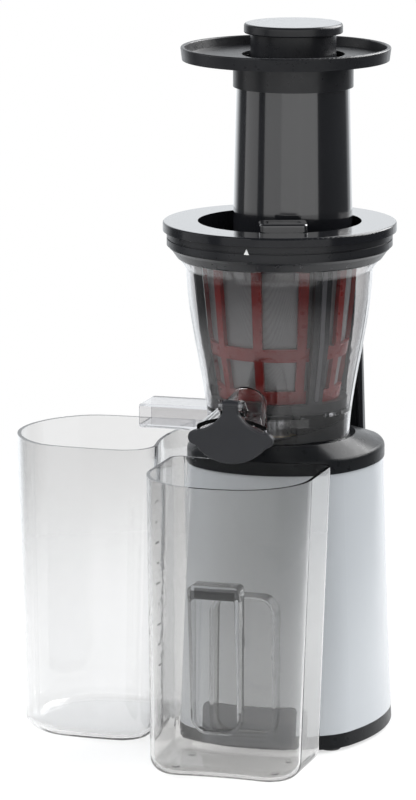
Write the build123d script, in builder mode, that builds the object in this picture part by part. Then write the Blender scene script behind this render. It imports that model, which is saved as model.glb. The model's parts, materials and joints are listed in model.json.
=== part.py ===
"""Cold press (slow) juicer: motor base, masticating bowl, lid with feed tube, juice jug and pulp container.

Units are millimetres. The origin lies on the drive axis, on the surface the juicer stands on.
+Z is up, -Y is the front (juice side) and -X is the pulp side. The rear arm stands on +Y.
"""
from build123d import *
import math
import os

os.makedirs("parts", exist_ok=True)

# ---------------------------------------------------------------- driving dimensions
# heights of the stack, from the table up
foot_height = 1.5
band_height = 8.8
housing_height = 159.7
deck_height = 17.5
bowl_height = 125.0
lid_edge = 5.5
lid_gap = 0.5
tube_height = 110.4
tray_depth = 8.0
cap_height = 6.0
cap_lift = 7.5

# motor housing plan: a squarish oval at the foot, nearly round under the deck
housing_half_width = 64.5
housing_top_half_width = 59.3
housing_front = 61.0
housing_back = 89.0
housing_top_front = 49.0
housing_top_back = 80.0
housing_wall = 2.8
band_inset = 0.3

# deck and rear arm
deck_overhang = 0.8
deck_shoulder = 8.0
deck_wall = 2.8
boss_low = 0.5
boss_high = 15.0
boss_turn = 38.0
arm_half_width = 37.0
arm_front = 60.0
arm_gap = 8.0
arm_wall = 3.0
cover_thickness = 2.2

# bowl, measured on its outside
bowl_foot_radius = 43.2
bowl_waist_radius = 45.1
bowl_middle_radius = 52.7
bowl_shoulder_radius = 57.0
bowl_neck_radius = 61.5
bowl_wall = 2.4
bowl_floor_rise = 15.5
bowl_floor = 2.5
band_radius = 69.0
rim_band_height = 16.0

# strainer, wiper cage and auger
strainer_gap = 6.6
strainer_frame_wall = 2.7
mesh_wall = 0.8
rib_count = 10
rib_arc = 7.5
rib_start = -1.5
wiper_count = 3
wiper_start = 47.0
auger_gap = 0.7
auger_pitch = 38.0
auger_core_radius = 19.0
auger_top_radius = 13.0

# lid, feed tube, tray and pusher
lid_radius = 71.4
recess_radius = 50.0
recess_depth = 13.0
lid_floor = 3.0
tube_x = 3.2
tube_back_gap = 1.55
tube_bore = 30.7
tube_wall = 3.5
tube_flare = 2.3
tray_radius = 64.2
tray_taper = 1.0
tray_x = 1.0
tray_y = 9.0
tray_wall = 2.4
collar_length = 17.3
tab_width = 29.0
tab_depth = 20.0
tab_height = 4.6
tab_turn = 19.0
pusher_wall = 2.5
neck_step = 4.05
cap_lip = 4.0

# juice spout, drip flap and pulp chute
spout_x = -6.5
spout_reach = 80.0
flap_half_width = 26.5
flap_thickness = 4.5
flap_drop = 4.0
flap_rim_gap = 1.5
pin_radius = 1.5
chute_reach = 86.0
chute_width = 27.0
chute_wall = 1.8
chute_corner = 1.5

# juice jug and pulp container
jug_half_width = 50.5
jug_depth = 87.0
jug_wall = 2.2
jug_gap = 16.0
jug_foot_gap = 10.0
front_grip_width = 27.0
back_grip_width = 37.0
grip_depth = 12.0
grip_lip = 8.0
front_grip_low = 32.0
front_grip_high = 114.0
back_grip_low = 17.0
back_grip_high = 100.0
pulp_length = 94.5
pulp_half_depth = 53.5
pulp_centre_y = -13.5
pulp_wall = 2.2
pulp_floor = 2.6
pulp_edge = 7.0
pulp_gap = 3.0
pulp_foot_gap = 5.5
pulp_rim_gap = 3.5

# drive train
pinion_teeth = 12
wheel_teeth = 60
gear_module = 1.0
gear_width = 10.0
auger_teeth = 20
idler_teeth = 16
ring_teeth = 52
bowl_gear_module = 1.25
bowl_gear_width = 4.8
backlash = 0.18
shaft_radius = 7.0
hex_across = 12.0
rotor_shaft_radius = 3.0
stator_radius = 38.0
rotor_radius = 22.0

# clearances
running = 0.05
seat = 0.3
slide_fit = 0.45

# ---------------------------------------------------------------- levels and shared places
band_z = foot_height
housing_z = band_z + band_height
deck_z0 = housing_z + housing_height
deck_z = deck_z0 + deck_height
floor_z = deck_z + bowl_floor_rise
chamber_z = floor_z + bowl_floor
neck_z = deck_z + bowl_height - rim_band_height
rim_z = deck_z + bowl_height
lid_z0 = rim_z + 0.5 + lid_gap
lid_z = lid_z0 + lid_edge
lid_floor_z = lid_z - recess_depth
tube_top_z = lid_floor_z + tube_height
tray_z0 = tube_top_z + seat
tray_z = tray_z0 + tray_depth
cap_z0 = tray_z + cap_lift
skirt_radius = bowl_neck_radius - bowl_wall - slide_fit
skirt_wall = 2.6
tube_top_radius = tube_bore + tube_wall
tube_base_radius = tube_top_radius + tube_flare
tube_y = skirt_radius - skirt_wall - tube_back_gap - tube_base_radius
tube_centre = (tube_x, tube_y)
tray_centre = (tray_x, tray_y)
gear_centres = gear_module * (pinion_teeth + wheel_teeth) / 2
idler_centres = bowl_gear_module * (auger_teeth + idler_teeth) / 2
auger_step = 360 / auger_teeth
idler_angle = 3 * auger_step
idler_place = (idler_centres * math.cos(math.radians(idler_angle)),
               idler_centres * math.sin(math.radians(idler_angle)))
bowl_gear_z = chamber_z + 0.8
plate_z = bowl_gear_z + bowl_gear_width + 0.8
strainer_top_z = neck_z + 3.0
band_z0 = rim_z + 0.5 - rim_band_height


# ---------------------------------------------------------------- shared outlines
def side(start, middle, end, bulge):
    """One side of a plan: an arc through its middle, or a line where it has no bulge."""
    if bulge == 0:
        Line(start, end)
    else:
        ThreePointArc(start, middle, end)


def plan(left, right, front, back, bulges, radii):
    """Four-sided plan with bulging sides and rounded corners.

    bulges holds the rise of the left, right, front and back sides, negative where a side is hollow.
    radii holds the corner radii of the front left, front right, back right and back left corners.
    """
    rise_left, rise_right, rise_front, rise_back = bulges
    front_left = (left + rise_left, front + rise_front)
    front_right = (right - rise_right, front + rise_front)
    back_right = (right - rise_right, back - rise_back)
    back_left = (left + rise_left, back - rise_back)
    corners = (front_left, front_right, back_right, back_left)
    middle_x = (front_left[0] + front_right[0]) / 2
    middle_y = (front_left[1] + back_left[1]) / 2
    with BuildSketch() as outline:
        with BuildLine():
            side(front_left, (middle_x, front), front_right, rise_front)
            side(front_right, (right, middle_y), back_right, rise_right)
            side(back_right, (middle_x, back), back_left, rise_back)
            side(back_left, (left, middle_y), front_left, rise_left)
        make_face()
        for corner, radius in zip(corners, radii):
            fillet(outline.vertices().sort_by_distance(corner)[0], radius)
    return outline.sketch


def housing_plan(share, inset):
    """Plan of the motor housing at a share of its height: 0 at the foot, 1 under the deck."""
    def blend(low, high):
        return low + (high - low) * share
    half = blend(housing_half_width, housing_top_half_width) - inset
    front = -blend(housing_front, housing_top_front) + inset
    back = blend(housing_back, housing_top_back) - inset
    side_rise = blend(13.0, 15.5)
    end_rise = blend(19.0, 16.5)
    radius = blend(32.0, 36.0) - inset
    rises = (side_rise, side_rise, end_rise, end_rise)
    return plan(-half, half, front, back, rises, [radius] * 4)


def share_at(level):
    """Share of the housing's height at a level."""
    return (level - housing_z) / housing_height


def housing_form(low, high, inset):
    """Solid of the housing's form between two levels, moved inward by an inset."""
    with BuildPart() as form:
        for level in (low, high):
            with BuildSketch(Plane.XY.offset(level)):
                add(housing_plan(share_at(level), inset))
        loft()
    return form.part


def involute(angle):
    """Involute function of a pressure angle in radians."""
    return math.tan(angle) - angle


def gear_outline(teeth, module, tip, root, slack, turn):
    """Outline of a spur gear with 20 degree involute flanks.

    tip and root are heights from the pitch circle, in modules, and slack is the play taken off each
    tooth at the pitch circle. turn is the direction of the first tooth, in degrees.
    """
    pressure = math.radians(20)
    pitch_radius = module * teeth / 2
    base_radius = pitch_radius * math.cos(pressure)
    tip_radius = pitch_radius + tip * module
    root_radius = pitch_radius - root * module

    def half_angle(radius):
        local = math.acos(min(1, base_radius / radius))
        half_tooth = math.pi / (2 * teeth) - slack / (2 * pitch_radius)
        return half_tooth + involute(pressure) - involute(local)

    def place(radius, angle):
        return (radius * math.cos(angle), radius * math.sin(angle))

    start_radius = max(root_radius, base_radius)
    middle_radius = (start_radius + tip_radius) / 2
    step = 2 * math.pi / teeth
    with BuildSketch() as outline:
        with BuildLine():
            for tooth in range(teeth):
                centre = math.radians(turn) + tooth * step
                foot = half_angle(start_radius)
                middle = half_angle(middle_radius)
                top = half_angle(tip_radius)
                if root_radius < base_radius:
                    Line(place(root_radius, centre - foot), place(start_radius, centre - foot))
                    Line(place(start_radius, centre + foot), place(root_radius, centre + foot))
                ThreePointArc(place(start_radius, centre - foot), place(middle_radius, centre - middle),
                              place(tip_radius, centre - top))
                Line(place(tip_radius, centre - top), place(tip_radius, centre + top))
                ThreePointArc(place(tip_radius, centre + top), place(middle_radius, centre + middle),
                              place(start_radius, centre + foot))
                Line(place(root_radius, centre + foot), place(root_radius, centre + step - foot))
        make_face()
    return outline.sketch


def cone_radius(level, low, low_radius, high, high_radius):
    """Radius of a straight cone at a level."""
    return low_radius + (high_radius - low_radius) * (level - low) / (high - low)


# ---------------------------------------------------------------- motor base
foot_spread_x = 44.2
foot_spread_y = 52.7
foot_radius = 6.5
base_centre_y = (housing_back - housing_front) / 2
foot_places = [(x, base_centre_y + y) for x in (-foot_spread_x, foot_spread_x)
               for y in (-foot_spread_y, foot_spread_y)]
boss_radius = 4.8
boss_height = 26.0
boss_places = [(x, base_centre_y + y) for x in (-housing_half_width + 13, housing_half_width - 13)
               for y in (-30, 30)]
screw_radius = 1.6
screw_head_radius = 3.2
plate_floor = 2.5
plate_wall_side = 2.2
spigot_height = 4.0
spigot_inset = housing_wall + seat
panel_half_width = 32.0
panel_z0 = band_z + 1.0
panel_z1 = housing_z + 18.0
panel_proud = 0.6
panel_depth = 2.2
switch_z = housing_z + 41.0
switch_half_width = 12.0
switch_half_height = 16.0
gland_z = housing_z + 11.0
gland_radius = 6.0
switch_y = housing_back - 2.0 - (housing_back - housing_top_back) * share_at(switch_z - switch_half_height)
gland_y = housing_back - (housing_back - housing_top_back) * share_at(gland_z)


def panel_outline(grow):
    """Front panel outline on the XZ plane, with its two top corners rounded."""
    with BuildSketch() as outline:
        with BuildLine():
            Polyline((-panel_half_width - grow, panel_z0 - grow), (panel_half_width + grow, panel_z0 - grow),
                     (panel_half_width + grow, panel_z1 + grow), (-panel_half_width - grow, panel_z1 + grow),
                     close=True)
        make_face()
        fillet(outline.vertices().group_by(Axis.Y)[-1], 5.0 + grow)
    return outline.sketch


with BuildPart() as motor_housing:
    add(housing_form(housing_z, deck_z0, 0))
    add(housing_form(housing_z, deck_z0, housing_wall), mode=Mode.SUBTRACT)
    # screw bosses, each tied to the wall by a web
    with BuildSketch(Plane.XY.offset(housing_z + 5)):
        with Locations(*boss_places):
            Circle(boss_radius)
        for x, y in boss_places:
            with Locations((x + math.copysign(6, x), y)):
                Rectangle(12, 2.4)
    extrude(amount=boss_height)
    add(housing_form(housing_z, deck_z0, 0), mode=Mode.INTERSECT)
    with Locations(*[(x, y, housing_z + 5) for x, y in boss_places]):
        Cylinder(screw_radius, 20, align=(Align.CENTER, Align.CENTER, Align.MIN), mode=Mode.SUBTRACT)
    # window of the front panel, opening of the switch and hole of the cord gland
    with BuildSketch(Plane.XZ.offset(housing_front - 25)):
        add(panel_outline(seat))
    extrude(amount=40, mode=Mode.SUBTRACT)
    with BuildSketch(Plane.XZ.offset(-switch_y + 14)):
        with Locations((0, switch_z)):
            Rectangle(2 * switch_half_width - 3, 2 * switch_half_height - 3)
        with Locations((0, gland_z)):
            Circle(gland_radius)
    extrude(amount=-30, mode=Mode.SUBTRACT)
motor_housing.part.label = "motor_housing"
export_step(motor_housing.part, "parts/motor_housing.step")

def panel_form(low, high, proud, depth, grow):
    """Solid of the front panel's outline between two levels, from a depth in the shell to its proud face."""
    with BuildPart() as form:
        add(housing_form(low, high, -proud))
        add(housing_form(low, high, depth), mode=Mode.SUBTRACT)
        with BuildSketch(Plane.XZ.offset(housing_front - 25)):
            add(panel_outline(grow))
        extrude(amount=40, mode=Mode.INTERSECT)
    return form.part


with BuildPart() as front_panel:
    add(panel_form(panel_z0, panel_z1, panel_proud, panel_depth, 0))
front_panel.part.label = "front_panel"
export_step(front_panel.part, "parts/front_panel.step")

with BuildPart() as base_plate:
    # band flush with the shell, and a spigot that stands inside it
    add(housing_form(band_z, housing_z, band_inset))
    add(housing_form(housing_z, housing_z + spigot_height, spigot_inset))
    add(housing_form(band_z + plate_floor, housing_z + spigot_height, spigot_inset + plate_wall_side),
        mode=Mode.SUBTRACT)
    with BuildSketch(Plane.XY.offset(band_z + plate_floor)):
        with Locations(*boss_places):
            Circle(boss_radius)
    extrude(amount=housing_z + 5 - band_z - plate_floor)
    # air slots in two banks, foot pockets and counterbored screw holes
    with BuildSketch(Plane.XY.offset(band_z)):
        with Locations((0, base_centre_y - 30), (0, base_centre_y + 34)):
            with GridLocations(7.5, 1, 9, 1):
                Rectangle(3.2, 22)
    extrude(amount=plate_floor, mode=Mode.SUBTRACT)
    with Locations(*[(x, y, band_z) for x, y in foot_places]):
        Cylinder(foot_radius, 1.0, align=(Align.CENTER, Align.CENTER, Align.MIN), mode=Mode.SUBTRACT)
    with Locations(*[(x, y, band_z) for x, y in boss_places]):
        Cylinder(screw_head_radius + seat, 4.0, align=(Align.CENTER, Align.CENTER, Align.MIN),
                 mode=Mode.SUBTRACT)
        Cylinder(screw_radius + 0.2, 20, align=(Align.CENTER, Align.CENTER, Align.MIN), mode=Mode.SUBTRACT)
    # bed of the front panel
    add(panel_form(band_z, housing_z, 1, panel_depth + seat, seat), mode=Mode.SUBTRACT)
base_plate.part.label = "base_plate"
export_step(base_plate.part, "parts/base_plate.step")

with BuildPart() as feet:
    with Locations(*foot_places):
        Cylinder(foot_radius, foot_height + 1, align=(Align.CENTER, Align.CENTER, Align.MIN))
    chamfer(feet.edges().group_by(Axis.Z)[0], 0.7)
feet.part.label = "feet"
export_step(feet.part, "parts/feet.step")

with BuildPart() as base_screws:
    for x, y in boss_places:
        with Locations((x, y, band_z + 1.8)):
            Cylinder(screw_head_radius, 2.2, align=(Align.CENTER, Align.CENTER, Align.MIN))
            Cylinder(screw_radius, 22, align=(Align.CENTER, Align.CENTER, Align.MIN))
            Cylinder(1.0, 1.2, align=(Align.CENTER, Align.CENTER, Align.MIN), mode=Mode.SUBTRACT)
base_screws.part.label = "base_screws"
export_step(base_screws.part, "parts/base_screws.step")

rocker_half_height = switch_half_height - 4.2
rocker_half_width = switch_half_width - 4.6
rocker_tilt = 8.0
with BuildPart() as switch_bezel:
    with BuildSketch(Plane.XZ.offset(-switch_y + 9)):
        with Locations((0, switch_z)):
            Rectangle(2 * switch_half_width - 3.6, 2 * switch_half_height - 3.6)
    extrude(amount=-11.1)
    with BuildSketch(Plane.XZ.offset(-switch_y - 2.1)):
        with Locations((0, switch_z)):
            RectangleRounded(2 * switch_half_width, 2 * switch_half_height, 3)
    extrude(amount=-1.4)
    with BuildSketch(Plane.XZ.offset(-switch_y + 10)):
        with Locations((0, switch_z)):
            Rectangle(2 * rocker_half_width + 0.8, 2 * rocker_half_height + 2.4)
    extrude(amount=-20, mode=Mode.SUBTRACT)
    with BuildSketch(Plane.YZ.offset(-switch_half_width)):
        with Locations((switch_y - 3, switch_z)):
            Circle(2 + running)
    extrude(amount=2 * switch_half_width, mode=Mode.SUBTRACT)
switch_bezel.part.label = "switch_bezel"
export_step(switch_bezel.part, "parts/switch_bezel.step")

rocker_lean = math.radians(-rocker_tilt)
rocker_plane = Plane(origin=(0, switch_y - 3, switch_z), z_dir=(1, 0, 0),
                     x_dir=(0, math.cos(rocker_lean), math.sin(rocker_lean)))
with BuildPart() as power_rocker:
    with BuildSketch(rocker_plane.offset(-rocker_half_width)):
        with BuildLine():
            Polyline((-5, -rocker_half_height + 3), (4, -rocker_half_height), (7, -rocker_half_height),
                     (5, 0), (7, rocker_half_height), (4, rocker_half_height), (-5, rocker_half_height - 3),
                     close=True)
        make_face()
    extrude(amount=2 * rocker_half_width)
    with BuildSketch(rocker_plane.offset(-rocker_half_width - 2)):
        Circle(2)
    extrude(amount=2 * rocker_half_width + 4)
power_rocker.part.label = "power_rocker"
export_step(power_rocker.part, "parts/power_rocker.step")

with BuildPart() as cord_gland:
    with BuildSketch(Plane.XZ.offset(-gland_y + 8)):
        with Locations((0, gland_z)):
            Circle(gland_radius)
    extrude(amount=-9)
    with BuildSketch(Plane.XZ.offset(-gland_y - 0.5)):
        with Locations((0, gland_z)):
            Circle(gland_radius + 2)
    extrude(amount=-2)
    fillet(cord_gland.edges().sort_by(Axis.Y)[-1], 1.2)
    with BuildSketch(Plane.XZ.offset(-gland_y + 6)):
        with Locations((0, gland_z)):
            Circle(3.4)
    extrude(amount=-20, mode=Mode.SUBTRACT)
cord_gland.part.label = "cord_gland"
export_step(cord_gland.part, "parts/cord_gland.step")

# ---------------------------------------------------------------- motor and gearbox
fan_z = housing_z + 13.0
bracket_z = fan_z + 12.0
stator_z0 = bracket_z + 4.0
stator_z1 = stator_z0 + 54.0
stage_one_z = stator_z1 + 27.0
stage_two_z = stage_one_z + gear_width + 2.0
case_floor_z = stage_one_z - 5.0
case_top_z = stage_two_z + gear_width + 6.0
case_radius = gear_module * wheel_teeth / 2 + 4.1
case_wall = 2.4
post_circle = 33.0
post_radius = 4.0
layshaft_radius = 3.0
bush_radius = 10.5
bush_length = 13.5

with BuildPart() as motor_bracket:
    with BuildSketch(Plane.XY.offset(bracket_z)):
        Circle(stator_radius)
        with PolarLocations(24, 6):
            Circle(6.5, mode=Mode.SUBTRACT)
    extrude(amount=stator_z0 - bracket_z)
    with BuildSketch(Plane.XY.offset(bracket_z - 3)):
        Circle(9)
    extrude(amount=stator_z0 - bracket_z + 3)
    with BuildSketch(Plane.XY.offset(band_z + plate_floor)):
        with PolarLocations(post_circle, 4, start_angle=45):
            Circle(post_radius)
    extrude(amount=bracket_z - band_z - plate_floor)
    with Locations((0, 0, bracket_z - 4)):
        Cylinder(rotor_shaft_radius + running, 12, align=(Align.CENTER, Align.CENTER, Align.MIN),
                 mode=Mode.SUBTRACT)
motor_bracket.part.label = "motor_bracket"
export_step(motor_bracket.part, "parts/motor_bracket.step")

with BuildPart() as motor_stator:
    with BuildSketch(Plane.XY.offset(stator_z0)):
        Circle(stator_radius)
        Circle(rotor_radius + 0.8, mode=Mode.SUBTRACT)
        with PolarLocations(stator_radius + 0.5, 4):
            Circle(2.5, mode=Mode.SUBTRACT)
    extrude(amount=stator_z1 - stator_z0)
motor_stator.part.label = "motor_stator"
export_step(motor_stator.part, "parts/motor_stator.step")

with BuildPart() as motor_rotor:
    with BuildSketch(Plane.XY.offset(fan_z - 2)):
        Circle(rotor_shaft_radius)
    extrude(amount=stage_one_z + gear_width + 0.5 - fan_z + 2)
    with BuildSketch(Plane.XY.offset(stator_z0 + 2)):
        Circle(rotor_radius)
    extrude(amount=stator_z1 - stator_z0 - 4)
motor_rotor.part.label = "motor_rotor"
export_step(motor_rotor.part, "parts/motor_rotor.step")

with BuildPart() as cooling_fan:
    with BuildSketch(Plane.XY.offset(fan_z)):
        Circle(9.5)
        with PolarLocations(17, 8):
            Rectangle(20, 1.4, rotation=25)
    extrude(amount=8)
    with Locations((0, 0, fan_z)):
        Cylinder(rotor_shaft_radius, 8, align=(Align.CENTER, Align.CENTER, Align.MIN), mode=Mode.SUBTRACT)
cooling_fan.part.label = "cooling_fan"
export_step(cooling_fan.part, "parts/cooling_fan.step")

with BuildPart() as motor_pinion:
    with BuildSketch(Plane.XY.offset(stage_one_z)):
        add(gear_outline(pinion_teeth, gear_module, 1.0, 0.95, backlash, 0))
        Circle(rotor_shaft_radius, mode=Mode.SUBTRACT)
    extrude(amount=gear_width)
motor_pinion.part.label = "motor_pinion"
export_step(motor_pinion.part, "parts/motor_pinion.step")

wheel_turn = 180 / wheel_teeth
with BuildPart() as layshaft_gear:
    with BuildSketch(Plane.XY.offset(stage_one_z)):
        with Locations((0, gear_centres)):
            add(gear_outline(wheel_teeth, gear_module, 0.75, 1.2, backlash, wheel_turn))
    extrude(amount=gear_width)
    with BuildSketch(Plane.XY.offset(stage_one_z + gear_width)):
        with Locations((0, gear_centres)):
            add(gear_outline(pinion_teeth, gear_module, 1.0, 0.95, backlash, 0))
    extrude(amount=gear_width + 2)
    with Locations((0, gear_centres, stage_one_z)):
        Cylinder(layshaft_radius + running, 3 * gear_width, mode=Mode.SUBTRACT,
                 align=(Align.CENTER, Align.CENTER, Align.MIN))
layshaft_gear.part.label = "layshaft_gear"
export_step(layshaft_gear.part, "parts/layshaft_gear.step")

with BuildPart() as output_gear:
    with BuildSketch(Plane.XY.offset(stage_two_z)):
        add(gear_outline(wheel_teeth, gear_module, 0.75, 1.2, backlash, wheel_turn))
        Circle(shaft_radius, mode=Mode.SUBTRACT)
    extrude(amount=gear_width - 1)
output_gear.part.label = "output_gear"
export_step(output_gear.part, "parts/output_gear.step")

hex_z = chamber_z + 1.5
hex_top_z = hex_z + 24.0
with BuildPart() as drive_shaft:
    with BuildSketch(Plane.XY.offset(stage_two_z - 0.5)):
        Circle(shaft_radius)
    extrude(amount=hex_z - stage_two_z + 0.5)
    with BuildSketch(Plane.XY.offset(stage_two_z + gear_width - 1)):
        Circle(shaft_radius + 3)
    extrude(amount=case_top_z - seat - stage_two_z - gear_width + 1)
    with BuildSketch(Plane.XY.offset(hex_z)):
        RegularPolygon(hex_across / 2, 6, major_radius=False)
    extrude(amount=hex_top_z - hex_z)
    chamfer(drive_shaft.edges().group_by(Axis.Z)[-1], 0.8)
drive_shaft.part.label = "drive_shaft"
export_step(drive_shaft.part, "parts/drive_shaft.step")


def case_plan(radius):
    """Plan round both gear axes."""
    with BuildSketch() as outline:
        with Locations((0, gear_centres / 2)):
            SlotCenterToCenter(gear_centres, 2 * radius, rotation=90)
    return outline.sketch


with BuildPart() as gearbox_case:
    with BuildSketch(Plane.XY.offset(case_floor_z)):
        add(case_plan(case_radius))
    extrude(amount=case_top_z - case_floor_z)
    with BuildSketch(Plane.XY.offset(case_floor_z + 3)):
        add(case_plan(case_radius - case_wall))
    extrude(amount=case_top_z - case_floor_z, mode=Mode.SUBTRACT)
    # skirt that stands on the stator, with cooling windows, and the layshaft boss
    with BuildSketch(Plane.XY.offset(stator_z1)):
        Circle(case_radius)
        Circle(case_radius - 5, mode=Mode.SUBTRACT)
        with PolarLocations(case_radius, 4, start_angle=45):
            Rectangle(16, 20, mode=Mode.SUBTRACT)
    extrude(amount=case_floor_z - stator_z1)
    with BuildSketch(Plane.XY.offset(case_floor_z + 3)):
        with Locations((0, gear_centres)):
            Circle(6)
    extrude(amount=1.7)
    with Locations((0, 0, case_floor_z)):
        Cylinder(rotor_shaft_radius + running, 3, align=(Align.CENTER, Align.CENTER, Align.MIN),
                 mode=Mode.SUBTRACT)
    with Locations((0, gear_centres, case_floor_z)):
        Cylinder(layshaft_radius, 5, align=(Align.CENTER, Align.CENTER, Align.MIN), mode=Mode.SUBTRACT)
gearbox_case.part.label = "gearbox_case"
export_step(gearbox_case.part, "parts/gearbox_case.step")

with BuildPart() as gearbox_cover:
    with BuildSketch(Plane.XY.offset(case_top_z)):
        add(case_plan(case_radius))
    extrude(amount=4)
    with BuildSketch(Plane.XY.offset(case_top_z)):
        Circle(shaft_radius + 5)
    extrude(amount=9)
    with BuildSketch(Plane.XY.offset(stage_two_z + gear_width + seat)):
        with Locations((0, gear_centres)):
            Circle(5)
    extrude(amount=case_top_z - stage_two_z - gear_width - seat)
    with Locations((0, 0, case_top_z)):
        Cylinder(shaft_radius + running, 9, align=(Align.CENTER, Align.CENTER, Align.MIN), mode=Mode.SUBTRACT)
    with Locations((0, gear_centres, case_top_z + 2)):
        Cylinder(layshaft_radius, 20, align=(Align.CENTER, Align.CENTER, Align.MAX), mode=Mode.SUBTRACT)
gearbox_cover.part.label = "gearbox_cover"
export_step(gearbox_cover.part, "parts/gearbox_cover.step")

with BuildPart() as layshaft_pin:
    with BuildSketch(Plane.XY.offset(case_floor_z)):
        with Locations((0, gear_centres)):
            Circle(layshaft_radius)
    extrude(amount=case_top_z + 2 - case_floor_z)
layshaft_pin.part.label = "layshaft_pin"
export_step(layshaft_pin.part, "parts/layshaft_pin.step")

# ---------------------------------------------------------------- deck and rear arm
shoulder_z = deck_z0 + deck_shoulder
deck_radius = bowl_foot_radius + 3.0
boss_radius_outer = bowl_foot_radius - bowl_wall - slide_fit
boss_wall = 2.4
arm_z = band_z0 - arm_gap
arm_height = arm_z - deck_z0
arm_back = housing_top_back
arm_top_half_width = arm_half_width - 3.0
arm_top_back = arm_back - 3.0


def arm_form(high, inset, reach):
    """Solid of the arm from the housing's top edge to a level; reach opens it towards the bowl."""
    share = (high - deck_z0) / arm_height
    half_top = arm_half_width + (arm_top_half_width - arm_half_width) * share
    back_top = arm_back + (arm_top_back - arm_back) * share
    with BuildPart() as form:
        for level, half, back in ((deck_z0, arm_half_width, arm_back), (high, half_top, back_top)):
            with BuildSketch(Plane.XY.offset(level)):
                add(plan(-half + inset, half - inset, arm_front - reach, back - inset,
                         (0, 0, 0, 11.3 - inset), [2.5] * 4))
        loft()
    return form.part


with BuildPart() as rear_arm:
    add(arm_form(arm_z, 0, 0))
    fillet(rear_arm.faces().sort_by(Axis.Z)[-1].edges(), 2.0)
    add(arm_form(arm_z - arm_wall, arm_wall, 8), mode=Mode.SUBTRACT)
rear_arm.part.label = "rear_arm"
export_step(rear_arm.part, "parts/rear_arm.step")

cover_rib_low = deck_z + 8.0
cover_rib_high = arm_z - 13.5
with BuildPart() as arm_cover:
    with BuildSketch(Plane.XZ.offset(-arm_front - 0.6)):
        with BuildLine():
            low_half = arm_half_width - arm_wall - seat
            top_half = arm_top_half_width - arm_wall - seat
            Polyline((-low_half, deck_z0 + 2), (low_half, deck_z0 + 2), (top_half, arm_z - arm_wall - seat),
                     (-top_half, arm_z - arm_wall - seat), close=True)
        make_face()
    extrude(amount=-cover_thickness)
    # stiffening ribs on the hidden face
    with BuildSketch(Plane.XZ.offset(-arm_front - 0.6 - cover_thickness)):
        with Locations(*[(x, (cover_rib_low + cover_rib_high) / 2) for x in (-16, 16)]):
            Rectangle(2, cover_rib_high - cover_rib_low)
    extrude(amount=-8)
arm_cover.part.label = "arm_cover"
export_step(arm_cover.part, "parts/arm_cover.step")


def deck_form(inset, drop):
    """Solid of the deck, moved inward by an inset and down by a drop."""
    half = housing_top_half_width + deck_overhang - inset
    front = -housing_top_front - deck_overhang + inset
    back = housing_top_back + deck_overhang - inset
    top = deck_radius - inset
    with BuildPart() as form:
        with BuildSketch(Plane.XY.offset(deck_z0)):
            add(plan(-half, half, front, back, (15.5, 15.5, 16.5, 16.5), [36 - inset] * 4))
        extrude(amount=deck_shoulder - drop)
        with BuildSketch(Plane.XY.offset(shoulder_z - drop)):
            add(plan(-half, half, front, back, (15.5, 15.5, 16.5, 16.5), [36 - inset] * 4))
        with BuildSketch(Plane.XY.offset(deck_z - drop)):
            add(plan(-top, top, -top, top + 4, (13.2, 13.2, 13.6, 13.6), [30 - inset] * 4))
        loft()
    return form.part


with BuildPart() as boss_slope:
    with BuildSketch(Plane.YZ.offset(-bowl_foot_radius)):
        with BuildLine():
            Polyline((-bowl_foot_radius, deck_z + boss_low), (bowl_foot_radius, deck_z + boss_high),
                     (bowl_foot_radius, deck_z + 2 * boss_high), (-bowl_foot_radius, deck_z + 2 * boss_high),
                     close=True)
        make_face()
    extrude(amount=2 * bowl_foot_radius)

with BuildPart() as deck:
    add(deck_form(0, 0))
    fillet(deck.edges().filter_by_position(Axis.Z, shoulder_z - 0.01, shoulder_z + 0.01), 4.0)
    add(deck_form(deck_wall, deck_wall), mode=Mode.SUBTRACT)
    with BuildSketch(Plane.XY.offset(deck_z - bush_length)):
        Circle(bush_radius + 3)
    extrude(amount=bush_length)
    with Locations((0, 0, deck_z)):
        Cylinder(bush_radius, 40, mode=Mode.SUBTRACT)
    # collar that centres the bowl's foot, its top sloping down to the spout, open where the chute passes
    with BuildSketch(Plane.XY.offset(deck_z)):
        Circle(boss_radius_outer)
        Circle(boss_radius_outer - boss_wall, mode=Mode.SUBTRACT)
        with Locations((-bowl_foot_radius, 0)):
            Rectangle(2 * bowl_foot_radius, chute_width + 3, mode=Mode.SUBTRACT)
    extrude(amount=boss_high)
    add(boss_slope.part.rotate(Axis.Z, -boss_turn), mode=Mode.SUBTRACT)
    add(arm_form(deck_z + 10, -seat, seat), mode=Mode.SUBTRACT)
deck.part.label = "deck"
export_step(deck.part, "parts/deck.step")

with BuildPart() as deck_bush:
    with BuildSketch(Plane.XY.offset(deck_z - bush_length)):
        Circle(bush_radius)
        Circle(shaft_radius + running, mode=Mode.SUBTRACT)
    extrude(amount=bush_length)
deck_bush.part.label = "deck_bush"
export_step(deck_bush.part, "parts/deck_bush.step")

# ---------------------------------------------------------------- bowl
bowl_shares = (0.0, 0.1835, 0.5826, 0.9404, 1.0)
bowl_radii = (bowl_foot_radius, bowl_waist_radius, bowl_middle_radius, bowl_shoulder_radius,
              bowl_neck_radius)
bowl_levels = [deck_z + share * (neck_z - deck_z) for share in bowl_shares]


def bowl_outer(level):
    """Outer radius of the bowl at a level, between its named radii."""
    for low, high, low_radius, high_radius in zip(bowl_levels, bowl_levels[1:], bowl_radii, bowl_radii[1:]):
        if level <= high:
            return cone_radius(level, low, low_radius, high, high_radius)
    return bowl_neck_radius


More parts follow.
